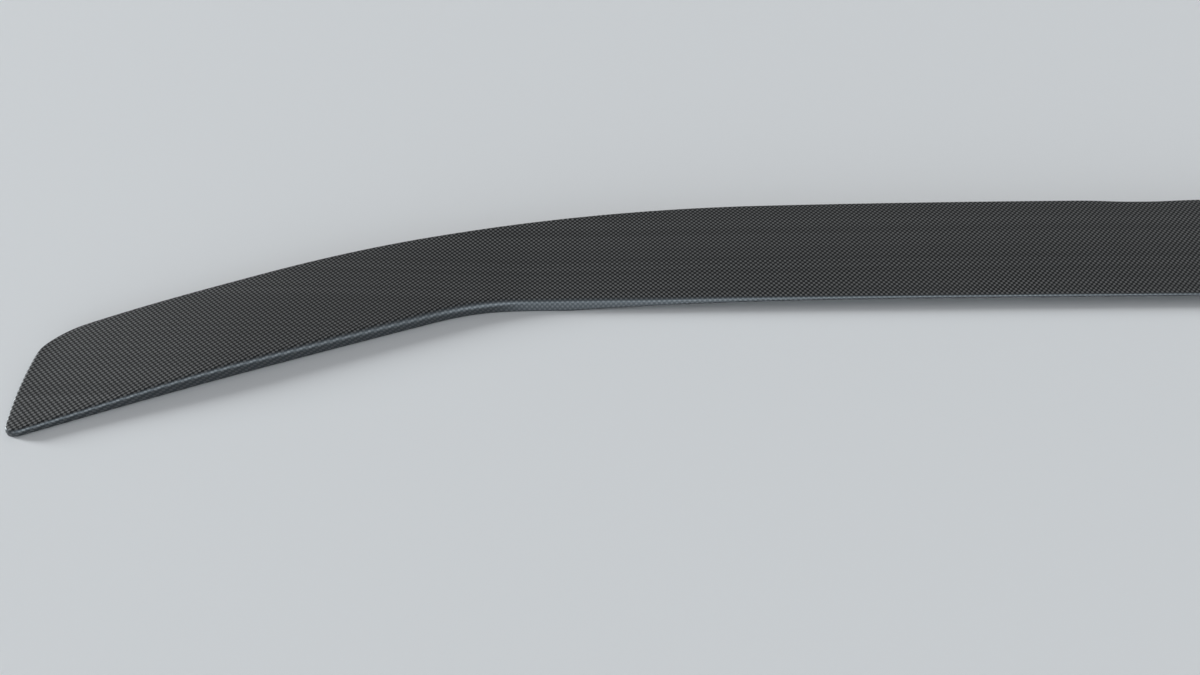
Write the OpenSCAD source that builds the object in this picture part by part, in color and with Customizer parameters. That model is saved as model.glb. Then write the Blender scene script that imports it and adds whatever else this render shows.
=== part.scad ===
// Boot lid spoiler for a car, moulded in one piece from plain-weave carbon cloth.
// X runs across the car, Y towards its back and Z up. The level heels of the
// bonding land stand on Z = 0, and the origin is under the middle of the spoiler.

/* [Outline from above] */
// Width between the front corners of the two tips
span = 1484; // [1340:2:1640]
// Depth of the top surface on the centre line, front line to trailing edge
chord = 84.7; // [76:0.1:100]
// Distance from the centre line at which the front line leaves the straight
bend_at = 444; // [430:1:500]
// Length of the bend that follows, measured across the car
bend_run = 69; // [30:1:100]
// Forward sweep of the front line just after its bend, in degrees
front_sweep = 25.2; // [18:0.1:28]
// Forward sweep of the front line at the tip, in degrees
front_tip_sweep = 28.5; // [22:0.5:36]
// Distance from the centre line at which the trailing edge leaves the straight
rear_bend_at = 281; // [200:1:340]
// Length of the trailing edge's bend, measured across the car
rear_bend_run = 240; // [150:1:280]
// Forward sweep of the trailing edge just after its bend, in degrees
rear_sweep = 13.7; // [10:0.1:17]
// Forward sweep of the trailing edge at the tip, in degrees
rear_tip_sweep = 33.3; // [24:0.1:34]
// How far the back of a tip stands outside its front corner
tip_flare = 8.5; // [0:0.5:20]
// Outward bow of a tip's edge, at its middle
tip_bow = 2; // [0:0.1:4]
// Radius of a tip's front corner
front_corner_r = 10.5; // [5:0.5:14]
// Radius of a tip's rear corner
rear_corner_r = 19; // [12:0.5:34]

/* [Heights] */
// Height of the front line between the heels
nose_h = 8.5; // [8:0.1:12]
// Height of the front line along the wings
wing_nose_h = 9.8; // [8.5:0.1:13]
// Height of the front line at the tips
tip_nose_h = 5.5; // [4.4:0.1:7]
// Height of the trailing edge on the centre line, without its dip
edge_h = 35; // [30:0.5:45]
// Height of the trailing edge at the tips
edge_tip_h = 10.3; // [9:0.1:16]
// Power of the curve by which the trailing edge falls to the tips
edge_fall = 2.4; // [1.8:0.1:3]
// Depth of the dip in the middle of the trailing edge
dip_depth = 1.2; // [0:0.1:3]
// Half the width of the dip, out to where it has run out
dip_half = 46; // [20:1:90]
// Rise of the top surface over a straight line, between the heels
top_crown = 1.2; // [0:0.1:2.5]
// Fall of the top surface below a straight line, along the wings
wing_hollow = 1.4; // [0:0.1:2]

/* [Front face] */
// Radius over the front line between the heels
nose_r = 2.8; // [1.5:0.1:4]
// Radius over the front line where a wing begins
wing_nose_r = 3.6; // [2:0.1:4.5]
// Radius over the front line at a tip
tip_nose_r = 1.6; // [1:0.1:2]
// Forward lean of the front face between the heels, in degrees
face_lean = 8; // [0:1:15]
// Backward slant of the front face under the wings, in degrees
undercut = 12; // [0:1:22]
// Radius along the foot of the front face
foot_r = 0.8; // [0.4:0.1:1.1]
// Clear height under the wings
wing_gap = 0.4; // [0.2:0.1:1.2]
// Length over which the front face turns from the heel into a wing
heel_run = 42; // [25:1:60]

/* [Underside] */
// Rise of the bonding land in the middle, over the crown of the boot lid
lid_crown = 6; // [2:0.1:6.4]
// Power of the curve by which the land falls to its heels
crown_power = 4.5; // [2:0.1:6]
// Distance from the centre line to the inner end of a level heel
heel_at = 420; // [360:1:425]
// Depth of the bonding land, front to back
land_depth = 56; // [45:0.5:62]
// Radius along the back of the land
land_edge_r = 3; // [1:0.1:5]
// Angle at which the rear face leaves the land, in degrees
cove_angle = 64; // [50:1:75]
// Thickness of the rounded trailing edge
edge_t = 3; // [2:0.1:3.6]
// Angle between the two faces at the trailing edge, in degrees
edge_taper = 8; // [3:0.5:12]

/* [Hidden] */
half = span/2;
edge_r = edge_t/2;
// Share of a low front face that its rounding may take
round_share = 0.45;
// Length over which the height of the front line falls to a tip, and over which a tip flares
tip_run = 114;
// Length over which the top surface loses its hollow towards a tip
flat_run = 228;
// Share of the dip's width over which its floor is level
dip_floor = 0.125;
// Radius by which the blade closes at a tip, and the share of its thickness left there
tip_r = 2;
tip_left = 0.12;
// Share of a wing's underside in which the back of the land runs out
run_out = 0.04;
// Steps along the parts of a section. Each step of the top has one below it, from the
// foot of the front face to the trailing edge
nose_steps = 7;
foot_steps = 3;
land_steps = 3;
cove_steps = 6;
edge_steps = 6;
top_steps = land_steps + cove_steps + 1;

// Where the sections stand, as distances from the centre line: close together through
// the turn of the front face and as far again behind it, and round the tip's corner
mid_step = 34;
turn_step = 6;
wing_step = 15;
wing_at = bend_at + 2*heel_run;
wing_end = half - rear_corner_r;
dip_count = 4;
mid_count = round((heel_at - dip_half)/mid_step);
turn_count = round((wing_at - bend_at)/turn_step);
wing_count = round((wing_end - wing_at)/wing_step);
tip_count = 10;
right_stations = concat(
    [for (k = [1:dip_count]) dip_half*k/dip_count],
    [for (k = [1:mid_count]) dip_half + (heel_at - dip_half)*k/mid_count],
    [bend_at],
    [for (k = [1:turn_count]) bend_at + (wing_at - bend_at)*k/turn_count],
    [for (k = [1:wing_count]) wing_at + (wing_end - wing_at)*k/wing_count],
    [for (k = [1:tip_count]) wing_end + rear_corner_r*sin(90*k/tip_count)]);
last = len(right_stations) - 1;
stations = concat([for (k = [last:-1:0]) -right_stations[k]], [0], right_stations);

// 0 before from, 1 after to, and a smooth rise between
function ease(s, from, to) =
    let (t = max(0, min(1, (s - from)/(to - from))))
    t*t*(3 - 2*t);

// Forward sweep of a line that is straight to from, bends over run to one angle
// and goes on to another at the tip
function sweep(s, from, run, angle, tip_angle) =
    let (near = tan(angle), far = tan(tip_angle), past = s - from - run)
    s <= from ? 0
    : past <= 0 ? near*(s - from)^2/(2*run)
    : near*(run/2 + past) + (far - near)*past^2/(2*(half - from - run));

// How far a rounded corner of radius r cuts the outline back
function corner(s, r) = s <= half - r ? 0 : r - sqrt(max(0, r^2 - (s - half + r)^2));

function front_y(s) =
    corner(s, front_corner_r) - sweep(s, bend_at, bend_run, front_sweep, front_tip_sweep);
function rear_y(s) =
    chord - corner(s, rear_corner_r)
    - sweep(s, rear_bend_at, rear_bend_run, rear_sweep, rear_tip_sweep);
function front_z(s) =
    nose_h + (wing_nose_h - nose_h)*ease(s, bend_at, bend_at + heel_run)
    - (wing_nose_h - tip_nose_h)*ease(s, half - tip_run, half);
function rear_z(s) =
    edge_h - (edge_h - edge_tip_h)*(s/half)^edge_fall
    - dip_depth*(1 - ease(s, dip_floor*dip_half, dip_half));
function rise(s) =
    (top_crown - (top_crown + wing_hollow)*ease(s, rear_bend_at, bend_at + heel_run))
    *(1 - ease(s, half - flat_run, half));
function land_z(s) = lid_crown*(1 - min(1, s/heel_at)^crown_power);

// A heading in a section is in degrees: 0 is forward, 90 down, 180 back and 270 up
function side(heading) = [-sin(heading), cos(heading)];
function ahead(p, d, heading) = p - d*[cos(heading), sin(heading)];

// Points of an arc of radius r from p, turning from one heading to another
function arc(p, r, from, to, steps) =
    [for (k = [0:steps]) p + r*(side(from + (to - from)*k/steps) - side(from))];

// Points inside a curve that leaves p on one heading and meets q on another
function curve(p, from, q, to, fractions) =
    let (reach = norm(q - p)/3, a = ahead(p, reach, from), b = ahead(q, -reach, to))
    [for (t = fractions) (1 - t)^3*p + 3*(1 - t)^2*t*a + 3*(1 - t)*t^2*b + t^3*q];

// The top surface, from the trailing edge to just behind the front line
function top_point(s, v) =
    let (front = [front_y(s), front_z(s)], back = [rear_y(s), rear_z(s)])
    front + (back - front)*v + [0, 4*rise(s)*v*(1 - v)];
function top_line(s) = [for (k = [0:top_steps - 1]) top_point(s, 1 - k/top_steps)];
function top_slope(s, bow) =
    atan((rear_z(s) - front_z(s) + bow*4*rise(s))/(rear_y(s) - front_y(s)));

// The rounded trailing edge, from the underside up to the top surface
function edge_arc(s) =
    let (from = 180 + top_slope(s, -1) + edge_taper, to = 360 + top_slope(s, -1),
         back = top_point(s, 1))
    arc(back - edge_r*(side(to) - side(from)), edge_r, from, to, edge_steps);

// The front face: over the front line, down at face, and round its foot at height base
function front_face(s, r, face, base, under) =
    let (nose = top_point(s, 0),
         over = arc(nose, min(r, round_share*(nose.y - base)), top_slope(s, 1), face, nose_steps),
         end = over[nose_steps],
         fall = foot_r*(cos(face) - cos(under)),
         foot = ahead(end, (end.y - base - fall)/sin(face), face))
    concat(over, arc(foot, foot_r, face, under, foot_steps));

function all_but_last(points) = [for (k = [0:len(points) - 2]) points[k]];

// Section between the heels: a leaning face, the land, and a coved rear face
function heel_section(s) =
    let (face = front_face(s, nose_r, 90 - face_lean, land_z(s), 180),
         land_end = [front_y(s) + land_depth, land_z(s)],
         land_edge = arc(land_end, land_edge_r, 180, 180 + cove_angle, land_steps),
         edge = edge_arc(s),
         cove = curve(land_edge[land_steps], 180 + cove_angle,
                      edge[0], 180 + top_slope(s, -1) + edge_taper,
                      [for (k = [1:cove_steps - 1]) k/cove_steps]))
    concat(top_line(s), face, land_edge, cove, all_but_last(edge));

// Section of a wing: a face slanting back under the front line, and one long underside
function wing_section(s) =
    let (share = land_depth/chord,
         level = 180 + top_slope(s, 1)/2,
         nose = wing_nose_r + (tip_nose_r - wing_nose_r)*ease(s, bend_at, half),
         face = front_face(s, nose, 90 + undercut, wing_gap, level),
         edge = edge_arc(s),
         spread = ease(s, bend_at, half),
         fractions = [for (k = [0:top_steps - 2])
             let (past = max(0, k - land_steps)/cove_steps,
                  by_land = share + run_out*min(1, k/land_steps) + (1 - share - run_out)*past)
             (1 - spread)*by_land + spread*(k + 1)/top_steps],
         under = curve(face[nose_steps + 1 + foot_steps], level,
                       edge[0], 180 + top_slope(s, -1) + edge_taper, fractions))
    concat(top_line(s), face, under, all_but_last(edge));

// A tip closes with a rounded edge: the section thins towards its middle line
function thinned(points, s) =
    let (past = max(0, s - half + tip_r)/tip_r,
         keep = max(tip_left, sqrt(max(0, 1 - past^2))),
         front = [front_y(s), (front_z(s) + wing_gap)/2],
         back = [rear_y(s), rear_z(s) - edge_r])
    [for (p = points)
        let (v = (p.x - front.x)/(back.x - front.x), middle = front.y + (back.y - front.y)*v)
        [p.x, middle + (p.y - middle)*keep]];

// One section as points in space, on the side of the car that at lies on
function section(at) =
    let (s = abs(at),
         m = ease(s, bend_at, bend_at + heel_run),
         flat = thinned((1 - m)*heel_section(s) + m*wing_section(s), s),
         near_tip = ease(s, half - tip_run, half),
         hand = at < 0 ? -1 : 1)
    [for (p = flat)
        let (v = (p.x - front_y(s))/(rear_y(s) - front_y(s)))
        [hand*(s + near_tip*(tip_flare*v + 4*tip_bow*v*(1 - v))), p.x, p.y]];

sections = [for (at = stations) section(at)];
ring = len(sections[0]);
rows = len(sections);
all_points = [for (row = sections) each row];
depths = [for (p = all_points) p.y];
middle_y = (min(depths) + max(depths))/2;

// The skin is closed at a tip by a face in the nose, one in the trailing edge, and
// strips between them from the top surface to the underside
edge_at = ring - edge_steps;
tip_faces = concat(
    [[for (k = [top_steps:edge_at - top_steps]) k]],
    [concat([for (k = [edge_at:ring - 1]) k], [0])],
    [for (k = [0:top_steps - 1]) [k, k + 1, edge_at - k - 1, edge_at - k]]);
function turned(face) = [for (k = [len(face) - 1:-1:0]) (rows - 1)*ring + face[k]];

module spoiler()
    color([0.16, 0.17, 0.18])
    translate([0, -middle_y, 0])
    polyhedron(
        points = all_points,
        faces = concat(
            tip_faces,
            [for (i = [0:rows - 2], k = [0:ring - 1])
                let (a = i*ring + k, b = i*ring + (k + 1)%ring)
                [a, a + ring, b + ring, b]],
            [for (face = tip_faces) turned(face)]),
        convexity = 6);

spoiler();
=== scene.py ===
import bpy
import numpy as np
from math import radians, tan
from mathutils import Matrix, Vector


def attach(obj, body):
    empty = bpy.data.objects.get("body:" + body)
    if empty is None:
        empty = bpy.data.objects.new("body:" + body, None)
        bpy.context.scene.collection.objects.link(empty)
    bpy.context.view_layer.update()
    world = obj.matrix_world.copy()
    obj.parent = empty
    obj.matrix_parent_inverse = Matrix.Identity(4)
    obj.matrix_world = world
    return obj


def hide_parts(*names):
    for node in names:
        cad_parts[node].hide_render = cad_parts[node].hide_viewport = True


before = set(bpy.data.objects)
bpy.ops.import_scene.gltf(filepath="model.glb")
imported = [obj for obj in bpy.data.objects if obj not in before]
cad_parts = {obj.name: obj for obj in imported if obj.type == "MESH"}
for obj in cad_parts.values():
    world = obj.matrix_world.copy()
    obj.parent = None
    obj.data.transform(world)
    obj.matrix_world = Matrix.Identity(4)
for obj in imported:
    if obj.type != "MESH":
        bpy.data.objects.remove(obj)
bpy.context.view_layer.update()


# Spoiler: one closed moulding of plain-weave carbon cloth under a satin clear coat.
# It is a long swept blade that is bonded across a boot lid: a rounded front face, an
# arched land under its middle, undercut wings and a thin rounded trailing edge.

# Outline from above, in metres from the centre line and from the front line. Each line is
# straight up to its bend, and turns over the bend's run to a sweep in degrees
HALF_SPAN = 0.742
CHORD = 0.0847
FRONT_BEND, FRONT_BEND_RUN = 0.444, 0.069
FRONT_SWEEP, FRONT_TIP_SWEEP = 25.2, 28.5
REAR_BEND, REAR_BEND_RUN = 0.281, 0.240
REAR_SWEEP, REAR_TIP_SWEEP = 13.7, 33.3
TIP_FLARE, TIP_BOW = 0.0085, 0.002
FRONT_CORNER, REAR_CORNER = 0.0105, 0.019

# Heights, and how they change along the blade
NOSE_HEIGHT, WING_NOSE_HEIGHT, TIP_NOSE_HEIGHT = 0.0085, 0.0098, 0.0055
EDGE_HEIGHT, EDGE_TIP_HEIGHT, EDGE_FALL = 0.035, 0.0103, 2.4
DIP_DEPTH, DIP_HALF, DIP_FLOOR = 0.0012, 0.046, 0.125
TOP_CROWN, WING_HOLLOW = 0.0012, 0.0014
TIP_RUN, FLAT_RUN = 0.114, 0.228

# Front face, rounded a little more softly and leaning a little more than the solid's.
# Angles are in degrees. The rounding starts behind the front line, by a share of its radius
NOSE_RADIUS, WING_NOSE_RADIUS, TIP_NOSE_RADIUS = 0.0045, 0.0052, 0.0024
SET_BACK, ROUND_SHARE, WING_ROUND_SHARE = 0.27, 0.8, 0.6
FACE_LEAN, UNDERCUT = 14, 12
FOOT_RADIUS = 0.0008
WING_GAP = 0.0004
HEEL_RUN = 0.042

# Underside and trailing edge
LID_CROWN, CROWN_POWER, HEEL_AT = 0.006, 4.5, 0.420
LAND_DEPTH, LAND_EDGE_RADIUS, COVE_ANGLE = 0.056, 0.003, 64
EDGE_RADIUS, EDGE_TAPER = 0.0015, 8
TIP_EDGE_RADIUS, TIP_LEFT = 0.002, 0.12
RUN_OUT = 0.04

# Steps of the skin's mesh round one section: the top has as many as all below it
NOSE_STEPS, FOOT_STEPS, LAND_STEPS, COVE_STEPS, EDGE_STEPS = 16, 6, 6, 23, 12
TOP_STEPS = LAND_STEPS + COVE_STEPS + 1


def ease(s, start, end):
    t = np.clip((s - start) / (end - start), 0, 1)
    return t * t * (3 - 2 * t)


def sweep(s, start, run, angle, tip_angle):
    near, far = tan(radians(angle)), tan(radians(tip_angle))
    bend = near * np.clip(s - start, 0, run) ** 2 / (2 * run)
    past = np.maximum(s - start - run, 0)
    return bend + near * past + (far - near) * past**2 / (2 * (HALF_SPAN - start - run))


def corner(s, radius):
    past = np.maximum(s - HALF_SPAN + radius, 0)
    return radius - np.sqrt(np.maximum(radius**2 - past**2, 0))


def front_line(s):
    y = corner(s, FRONT_CORNER) - sweep(s, FRONT_BEND, FRONT_BEND_RUN, FRONT_SWEEP, FRONT_TIP_SWEEP)
    z = (NOSE_HEIGHT + (WING_NOSE_HEIGHT - NOSE_HEIGHT) * ease(s, FRONT_BEND, FRONT_BEND + HEEL_RUN)
         - (WING_NOSE_HEIGHT - TIP_NOSE_HEIGHT) * ease(s, HALF_SPAN - TIP_RUN, HALF_SPAN))
    return np.stack([y, z], -1)


def rear_line(s):
    y = CHORD - corner(s, REAR_CORNER) - sweep(s, REAR_BEND, REAR_BEND_RUN, REAR_SWEEP, REAR_TIP_SWEEP)
    z = (EDGE_HEIGHT - (EDGE_HEIGHT - EDGE_TIP_HEIGHT) * (s / HALF_SPAN) ** EDGE_FALL
         - DIP_DEPTH * (1 - ease(s, DIP_FLOOR * DIP_HALF, DIP_HALF)))
    return np.stack([y, z], -1)


def rise(s):
    fades = 1 - ease(s, HALF_SPAN - FLAT_RUN, HALF_SPAN)
    return (TOP_CROWN - (TOP_CROWN + WING_HOLLOW) * ease(s, REAR_BEND, FRONT_BEND + HEEL_RUN)) * fades


def land_height(s):
    return LID_CROWN * (1 - np.minimum(1, s / HEEL_AT) ** CROWN_POWER)


# Headings in a section, in degrees: 0 is forward, 90 down, 180 back and 270 up
def side(heading):
    return np.stack([-np.sin(np.radians(heading)), np.cos(np.radians(heading))], -1)


def ahead(p, distance, heading):
    way = np.stack([np.cos(np.radians(heading)), np.sin(np.radians(heading))], -1)
    return p - distance[:, None] * way


def arc(p, radius, start, end, steps):
    turn = start[:, None] + (end - start)[:, None] * np.linspace(0, 1, steps + 1)
    return p[:, None] + radius[:, None, None] * (side(turn) - side(start)[:, None])


def curve(p, start, q, end, fractions):
    reach = np.hypot(*(q - p).T) / 3
    a, b, t = ahead(p, reach, start), ahead(q, -reach, end), fractions[..., None]
    return ((1 - t)**3 * p[:, None] + 3 * (1 - t)**2 * t * a[:, None]
            + 3 * (1 - t) * t**2 * b[:, None] + t**3 * q[:, None])


def top_line(s, along):
    front, back, v = front_line(s)[:, None], rear_line(s)[:, None], along[:, None]
    bow = 4 * rise(s)[:, None] * along * (1 - along)
    return front + (back - front) * v + np.stack([0 * bow, bow], -1)


def top_slope(s, bow):
    run, climb = (rear_line(s) - front_line(s)).T
    return np.degrees(np.arctan2(climb + bow * 4 * rise(s), run))


def trailing_edge(s):
    start, end = 180 + top_slope(s, -1) + EDGE_TAPER, 360 + top_slope(s, -1)
    radius = np.full_like(s, EDGE_RADIUS)
    below = rear_line(s) - EDGE_RADIUS * (side(end) - side(start))
    return arc(below, radius, start, end, EDGE_STEPS)


def front_face(s, radius, face, base, under):
    nose = ahead(front_line(s), -SET_BACK * radius, top_slope(s, 1))
    over = arc(nose, radius, top_slope(s, 1), face, NOSE_STEPS)
    fall = FOOT_RADIUS * (np.cos(np.radians(face)) - np.cos(np.radians(under)))
    down = (over[:, -1, 1] - base - fall) / np.sin(np.radians(face))
    foot = ahead(over[:, -1], down, face)
    return np.concatenate([over, arc(foot, np.full_like(s, FOOT_RADIUS), face, under, FOOT_STEPS)], 1)


def land_section(s):
    """Between the heels: a leaning face, the land, and a coved rear face."""
    level = np.full_like(s, 180.0)
    nose_radius = np.minimum(NOSE_RADIUS, ROUND_SHARE * (front_line(s)[:, 1] - land_height(s)))
    face = front_face(s, nose_radius, level - 90 - FACE_LEAN, land_height(s), level)
    land_end = np.stack([front_line(s)[:, 0] + LAND_DEPTH, land_height(s)], -1)
    back = arc(land_end, np.full_like(s, LAND_EDGE_RADIUS), level, level + COVE_ANGLE, LAND_STEPS)
    edge = trailing_edge(s)
    inside = np.broadcast_to(np.arange(1, COVE_STEPS) / COVE_STEPS, (len(s), COVE_STEPS - 1))
    cove = curve(back[:, -1], level + COVE_ANGLE, edge[:, 0], level + top_slope(s, -1) + EDGE_TAPER, inside)
    return np.concatenate([face, back, cove, edge], 1)


def wing_section(s):
    """Along a wing: a face slanting back under the front line, and one long underside."""
    nose_radius = (WING_NOSE_RADIUS
                   + (TIP_NOSE_RADIUS - WING_NOSE_RADIUS) * ease(s, FRONT_BEND, HALF_SPAN))
    nose_radius = np.minimum(nose_radius, WING_ROUND_SHARE * (front_line(s)[:, 1] - WING_GAP))
    level = 180 + top_slope(s, 1) / 2
    face = front_face(s, nose_radius, np.full_like(s, 90.0 + UNDERCUT), WING_GAP, level)
    edge = trailing_edge(s)
    k = np.arange(TOP_STEPS - 1)
    share, past = LAND_DEPTH / CHORD, np.maximum(0, k - LAND_STEPS) / COVE_STEPS
    by_land = share + RUN_OUT * np.minimum(1, k / LAND_STEPS) + (1 - share - RUN_OUT) * past
    spread = ease(s, FRONT_BEND, HALF_SPAN)[:, None]
    fractions = (1 - spread) * by_land + spread * (k + 1) / TOP_STEPS
    under = curve(face[:, -1], level, edge[:, 0], 180 + top_slope(s, -1) + EDGE_TAPER, fractions)
    return np.concatenate([face, under, edge], 1)


# Stations along the blade, closest where the front face turns and round the tips
MIDDLE_STEP, TURN_STEP, WING_STEP, TIP_STATIONS = 0.004, 0.0015, 0.003, 24
turn_end, wing_end = FRONT_BEND + 2 * HEEL_RUN, HALF_SPAN - REAR_CORNER
right_half = np.concatenate([
    np.linspace(0, HEEL_AT, round(HEEL_AT / MIDDLE_STEP), endpoint=False),
    np.linspace(HEEL_AT, turn_end, round((turn_end - HEEL_AT) / TURN_STEP), endpoint=False),
    np.linspace(turn_end, wing_end, round((wing_end - turn_end) / WING_STEP), endpoint=False),
    wing_end + REAR_CORNER * np.sin(np.linspace(0, np.pi / 2, TIP_STATIONS))])
stations = np.concatenate([-right_half[:0:-1], right_half])
s = np.abs(stations)

# Sections: top from the trailing edge forward, then down the face and back underneath
blend = ease(s, FRONT_BEND, FRONT_BEND + HEEL_RUN)[:, None, None]
below = (1 - blend) * land_section(s) + blend * wing_section(s)
above = top_line(s, 1 - np.arange(TOP_STEPS) / TOP_STEPS)
outline = np.concatenate([above, below], 1)

# At a tip the blade thins to a rounded edge, and flares and bows outward
front, back = front_line(s), rear_line(s)
v = (outline[..., 0] - front[:, :1]) / (back - front)[:, :1]
past_wing = np.maximum(0, s - HALF_SPAN + TIP_EDGE_RADIUS) / TIP_EDGE_RADIUS
thickness_left = np.maximum(TIP_LEFT, np.sqrt(np.maximum(0, 1 - past_wing**2)))[:, None]
nose_middle = (front[:, 1:] + WING_GAP) / 2
middle = nose_middle + (back[:, 1:] - EDGE_RADIUS - nose_middle) * v
height = middle + (outline[..., 1] - middle) * thickness_left
near_tip = ease(s, HALF_SPAN - TIP_RUN, HALF_SPAN)[:, None]
across = np.where(stations < 0, -1, 1)[:, None] * (
    s[:, None] + near_tip * (TIP_FLARE * v + 4 * TIP_BOW * v * (1 - v)))

# Cloth lies straight: one set of tows runs along X, and the other is drawn over the top,
# the nose and the underside, so it is measured round each section from the front line
steps = np.hypot(np.diff(outline[..., 0], axis=1), np.diff(height, axis=1))
round_section = np.concatenate([np.zeros((len(s), 1)), np.cumsum(steps, 1)], 1)
along_cloth = (outline[..., 0] + round_section)[:, TOP_STEPS:TOP_STEPS + 1] - round_section

# Last point of each section is its first again, where the cloth meets itself
rows, ring = outline.shape[0], outline.shape[1] - 1
depth = outline[:, :ring, 0] - (outline[..., 0].min() + outline[..., 0].max()) / 2
points = np.stack([across[:, :ring], depth, height[:, :ring]], -1).reshape(-1, 3)
faces = [(i * ring + k, i * ring + (k + 1) % ring, (i + 1) * ring + (k + 1) % ring, (i + 1) * ring + k)
         for i in range(rows - 1) for k in range(ring)]
edge_at = ring - EDGE_STEPS
tip_faces = [list(range(TOP_STEPS, edge_at - TOP_STEPS + 1)), list(range(edge_at, ring)) + [0]]
tip_faces += [[k, k + 1, edge_at - k - 1, edge_at - k] for k in range(TOP_STEPS)]
faces += [face[::-1] for face in tip_faces]
faces += [[(rows - 1) * ring + k for k in face] for face in tip_faces]

skin = bpy.data.meshes.new("spoiler_skin")
skin.from_pydata(points.tolist(), [], faces)
skin.shade_smooth()

# The place on the cloth is kept at face corners, because the cloth has its seam along
# the trailing edge
cloth = skin.uv_layers.new(name="cloth")
corner_at = np.empty(len(skin.loops), dtype=int)
skin.loops.foreach_get("vertex_index", corner_at)
row_at, ring_at = corner_at // ring, corner_at % ring
face_of = np.repeat(np.arange(len(faces)), [len(face) for face in faces])
closes = (face_of < (rows - 1) * ring) & (face_of % ring == ring - 1) & (ring_at == 0)
ring_at = np.where(closes, ring, ring_at)
cloth_uv = np.stack([across[row_at, ring_at], along_cloth[row_at, ring_at]], -1)
cloth.data.foreach_set("uv", cloth_uv.ravel())

spoiler = bpy.data.objects.new("spoiler_moulding", skin)
bpy.context.scene.collection.objects.link(spoiler)


# Carbon cloth: plain weave of black tows, one over and one under, wetted out with
# resin. All tows are the same black fibre; those that run across the car are painted
# paler than those along it, a painted sheen of the light they catch.
TOW_PITCH = 0.00172
PALE_SHEEN_TOW = (0.265, 0.266, 0.264, 1)
DARK_TOW = (0.022, 0.023, 0.023, 1)
# Painted sheen: an even bluish tone, and how much of it the tows take where the surface faces away from up
PAINTED_SHEEN_TOW, PAINTED_SHEEN_SHARE = (0.070, 0.080, 0.088, 1), 0.68
TURN_START, TURN_END = 0.92, 0.70
CROWN_FALL, DIVE_FALL, CROSSING_BLUR = 0.4, 0.8, 0.12
WARP_TINTS, WEFT_TINTS = 0, 0.5
GAP_SHADE = 0.35
TOW_SPREAD = 0.22
WEAVE_RELIEF, RELIEF_STRENGTH = 0.00004, 0.6
FIBRE_SHINE = 0.85
SATIN_ROUGHNESS = 0.50
COAT_WEIGHT, COAT_ROUGHNESS = 0.35, 0.30

carbon = bpy.data.materials.new("satin_carbon_cloth")
carbon.use_nodes = True
nodes, links = carbon.node_tree.nodes, carbon.node_tree.links
satin = nodes["Principled BSDF"]


def feed(socket, value):
    if isinstance(value, bpy.types.NodeSocket):
        links.new(value, socket)
    else:
        socket.default_value = value


def maths(operation, *values):
    node = nodes.new("ShaderNodeMath")
    node.operation = operation
    for socket, value in zip(node.inputs, values):
        feed(socket, value)
    return node.outputs[0]


def blend_colours(factor, first, second, how="MIX"):
    node = nodes.new("ShaderNodeMix")
    node.data_type, node.blend_type = "RGBA", how
    feed(node.inputs[0], factor)
    feed(node.inputs[6], first)
    feed(node.inputs[7], second)
    return node.outputs[2]


# Crossings counted along both sets of tows, and how near a point is to each tow's crown
place = nodes.new("ShaderNodeUVMap")
place.uv_map = "cloth"
split = nodes.new("ShaderNodeSeparateXYZ")
links.new(place.outputs[0], split.inputs[0])
count_x = maths("DIVIDE", split.outputs[0], TOW_PITCH)
count_y = maths("DIVIDE", split.outputs[1], TOW_PITCH)
wave_x = maths("SINE", maths("MULTIPLY", count_x, np.pi))
wave_y = maths("SINE", maths("MULTIPLY", count_y, np.pi))
crown_x, crown_y = maths("ABSOLUTE", wave_x), maths("ABSOLUTE", wave_y)
over_under = maths("MULTIPLY", wave_x, wave_y)
weft_on_top = nodes.new("ShaderNodeMapRange")
weft_on_top.interpolation_type = "SMOOTHSTEP"
feed(weft_on_top.inputs["Value"], over_under)
feed(weft_on_top.inputs["From Min"], -CROSSING_BLUR)
feed(weft_on_top.inputs["From Max"], CROSSING_BLUR)
weft = weft_on_top.outputs[0]


def tow_tint(count, first):
    """Each tow has its own slight shade. The two sets count from different numbers."""
    noise = nodes.new("ShaderNodeTexWhiteNoise")
    noise.noise_dimensions = "1D"
    feed(noise.inputs["W"], maths("ADD", maths("FLOOR", count), first))
    return maths("MULTIPLY_ADD", noise.outputs[0], TOW_SPREAD, 1 - TOW_SPREAD / 2)


# A tow is palest over its crown and falls into shade where it dives under the next
warp_crown = maths("MULTIPLY", maths("POWER", crown_x, CROWN_FALL), maths("POWER", crown_y, DIVE_FALL))
weft_crown = maths("MULTIPLY", maths("POWER", crown_y, CROWN_FALL), maths("POWER", crown_x, DIVE_FALL))
dip_shade = maths("MULTIPLY_ADD", maths("MAXIMUM", warp_crown, weft_crown), 1 - GAP_SHADE, GAP_SHADE)
warp_shade = maths("MULTIPLY", dip_shade, tow_tint(count_x, WARP_TINTS))
weft_shade = maths("MULTIPLY", dip_shade, tow_tint(count_y, WEFT_TINTS))
# Across tows take the pale colour of painted sheen, along tows their own dark colour
tows = blend_colours(weft, DARK_TOW, PALE_SHEEN_TOW)
shade = nodes.new("ShaderNodeMix")
feed(shade.inputs[0], weft)
feed(shade.inputs[2], warp_shade)
feed(shade.inputs[3], weft_shade)
shaded_tows = blend_colours(1.0, tows, shade.outputs[0], "MULTIPLY")

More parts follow.
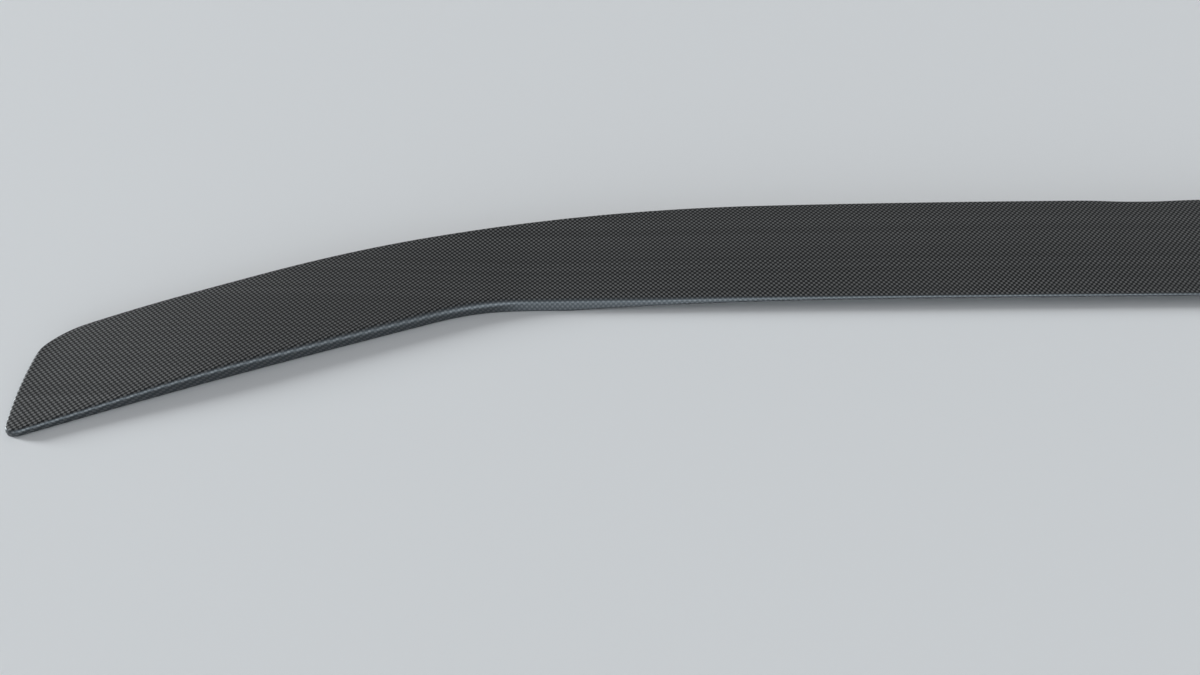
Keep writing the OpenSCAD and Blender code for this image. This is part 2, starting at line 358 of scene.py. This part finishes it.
# Painted sheen: where the cloth turns down over an edge, and underneath, the tows are
# blended towards one even bluish tone that stands in for the light both sets catch alike
# there. How far a surface has turned is told by how far it still faces up: 1 is level
# and 0 is upright
facing = nodes.new("ShaderNodeNewGeometry")
upright = nodes.new("ShaderNodeSeparateXYZ")
links.new(facing.outputs["Normal"], upright.inputs[0])
painted_sheen_mask = nodes.new("ShaderNodeMapRange")
feed(painted_sheen_mask.inputs["Value"], upright.outputs[2])
feed(painted_sheen_mask.inputs["From Min"], TURN_START)
feed(painted_sheen_mask.inputs["From Max"], TURN_END)
feed(painted_sheen_mask.inputs["To Max"], PAINTED_SHEEN_SHARE)
links.new(blend_colours(painted_sheen_mask.outputs[0], shaded_tows, PAINTED_SHEEN_TOW), satin.inputs["Base Color"])

# The clear coat levels the weave, so only a little of its relief is left
relief = nodes.new("ShaderNodeBump")
feed(relief.inputs["Strength"], RELIEF_STRENGTH)
feed(relief.inputs["Distance"], WEAVE_RELIEF)
feed(relief.inputs["Height"], dip_shade)
links.new(relief.outputs[0], satin.inputs["Normal"])
feed(satin.inputs["Metallic"], FIBRE_SHINE)
feed(satin.inputs["Roughness"], SATIN_ROUGHNESS)
feed(satin.inputs["Coat Weight"], COAT_WEIGHT)
feed(satin.inputs["Coat Roughness"], COAT_ROUGHNESS)

skin.materials.append(carbon)
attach(spoiler, "root")
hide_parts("spoiler")


# Floor: a plain pale matt sheet that the spoiler lies on, so wide that its edge is far
# behind it in every view.
FLOOR_HALF, FLOOR_COLOUR, FLOOR_ROUGHNESS = 40.0, (0.83, 0.83, 0.83, 1), 0.9
floor_mesh = bpy.data.meshes.new("floor_sheet")
floor_mesh.from_pydata([(x, y, 0) for x, y in ((-1, -1), (1, -1), (1, 1), (-1, 1))], [], [(0, 1, 2, 3)])
floor_mesh.transform(Matrix.Scale(FLOOR_HALF, 4))
floor = bpy.data.objects.new("floor_sheet", floor_mesh)
bpy.context.scene.collection.objects.link(floor)
pale = bpy.data.materials.new("pale_floor")
pale.use_nodes = True
matt = pale.node_tree.nodes["Principled BSDF"]
matt.inputs["Base Color"].default_value = FLOOR_COLOUR
matt.inputs["Roughness"].default_value = FLOOR_ROUGHNESS
floor_mesh.materials.append(pale)


# Light: an even pale sky over a paler low wall all round, a low soft lamp at the left that
# puts the face in shade, and a wide soft lamp low in front for the rounded nose. Both
# lamps are far off, so they act as suns.
SKY_COLOUR, SKY_STRENGTH, WALL_STRENGTH = (0.96, 0.975, 1.0, 1), 0.288, 0.90

# The wall ends where a line of sight climbs by the first share of its length, and has
# faded into the sky by the second
WALL_TOP, WALL_FADE = 0.13, 0.20

world = bpy.data.worlds.new("pale_sky")
bpy.context.scene.world = world
world.use_nodes = True
sky_nodes, sky_links = world.node_tree.nodes, world.node_tree.links
sky_nodes["Background"].inputs[0].default_value = SKY_COLOUR
direction, climb = sky_nodes.new("ShaderNodeTexCoord"), sky_nodes.new("ShaderNodeSeparateXYZ")
wall_to_sky = sky_nodes.new("ShaderNodeMapRange")
wall_to_sky.inputs["From Min"].default_value = WALL_TOP
wall_to_sky.inputs["From Max"].default_value = WALL_FADE
wall_to_sky.inputs["To Min"].default_value = WALL_STRENGTH
wall_to_sky.inputs["To Max"].default_value = SKY_STRENGTH
sky_links.new(direction.outputs["Generated"], climb.inputs[0])
sky_links.new(climb.outputs[2], wall_to_sky.inputs["Value"])
sky_links.new(wall_to_sky.outputs[0], sky_nodes["Background"].inputs[1])


def soft_lamp(name, towards, strength, spread, colour):
    light = bpy.data.lights.new(name, "SUN")
    light.energy, light.angle, light.color = strength, radians(spread), colour
    lamp = bpy.data.objects.new(name, light)
    lamp.rotation_euler = Vector(towards).to_track_quat("Z", "Y").to_euler()
    bpy.context.scene.collection.objects.link(lamp)


soft_lamp("side_lamp", towards=(-3.6, 1.0, 0.88), strength=4.6, spread=16, colour=(0.92, 0.97, 1.0))
soft_lamp("front_lamp", towards=(0.27, -0.96, 0.12), strength=2.15, spread=44,
          colour=(0.82, 0.92, 1.0))


# Camera: where the photograph was taken from, found from the outline of the spoiler. It
# looks down, a little to the right and slightly rolled, by angles in degrees.
CAMERA_AT = (-0.4130, -0.5490, 0.3726)
CAMERA_DOWN, CAMERA_RIGHT, CAMERA_ROLL = 34.82, 1.273, -0.18
FOCAL_PIXELS, PHOTO_WIDTH = 1001.7, 1200
lens = bpy.data.cameras.new("photo_camera")
lens.sensor_width = 36
lens.lens = lens.sensor_width * FOCAL_PIXELS / PHOTO_WIDTH
camera = bpy.data.objects.new("photo_camera", lens)
camera.matrix_world = (Matrix.Translation(CAMERA_AT) @ Matrix.Rotation(radians(-CAMERA_RIGHT), 4, "Z")
                       @ Matrix.Rotation(radians(90 - CAMERA_DOWN), 4, "X")
                       @ Matrix.Rotation(radians(-CAMERA_ROLL), 4, "Z"))
bpy.context.scene.collection.objects.link(camera)
bpy.context.scene.camera = camera
bpy.context.scene.view_settings.view_transform = "Standard"
